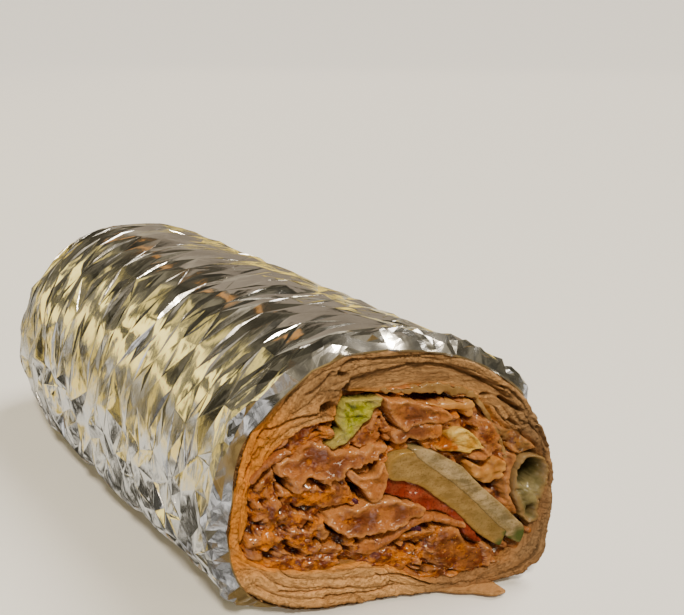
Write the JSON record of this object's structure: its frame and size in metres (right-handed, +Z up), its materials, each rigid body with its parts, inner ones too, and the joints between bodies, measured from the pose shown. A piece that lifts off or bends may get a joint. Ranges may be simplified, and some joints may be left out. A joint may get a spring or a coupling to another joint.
{
  "type": "kebab wrap half",
  "caption": "Half of a kebab wrap lying on its side: rolled flatbread in crumpled foil, cut on the slant to show meat, cucumber, tomato and lettuce.",
  "frame": {"origin": "on the table, under the middle of the whole", "axes": "+Y along the roll from the cut to the closed end, +X to the right of the cut, +Z up"},
  "size_m": [0.0678, 0.158, 0.0604],
  "materials": {
    "foil": "bright crumpled household foil",
    "bread": null,
    "meat": null,
    "meat_slice": null,
    "onion": null,
    "tomato": null,
    "red_cabbage": null,
    "lettuce": null,
    "cucumber": null
  },
  "bodies": {
    "root": {"foil": "foil", "flatbread": "bread", "meat_heap": "meat", "meat_slice_curled": "meat_slice", "meat_slice_broad": "meat_slice", "meat_slice_arched": "meat_slice", "meat_slice_ragged": "meat_slice", "meat_slice_left": "meat_slice", "meat_slice_top": "meat_slice", "meat_slice_middle": "meat_slice", "onion_piece": "onion", "tomato_slice": "tomato", "tomato_end": "tomato", "red_cabbage_shred": "red_cabbage", "red_cabbage_end": "red_cabbage", "lettuce_bright": "lettuce", "lettuce_pocket": "lettuce", "lettuce_top": "lettuce", "lettuce_under": "lettuce", "lettuce_shred": "lettuce", "lettuce_crinkled": "lettuce", "cucumber_slice_lower": "cucumber", "cucumber_slice_upper": "cucumber"}
  },
  "joints": []
}
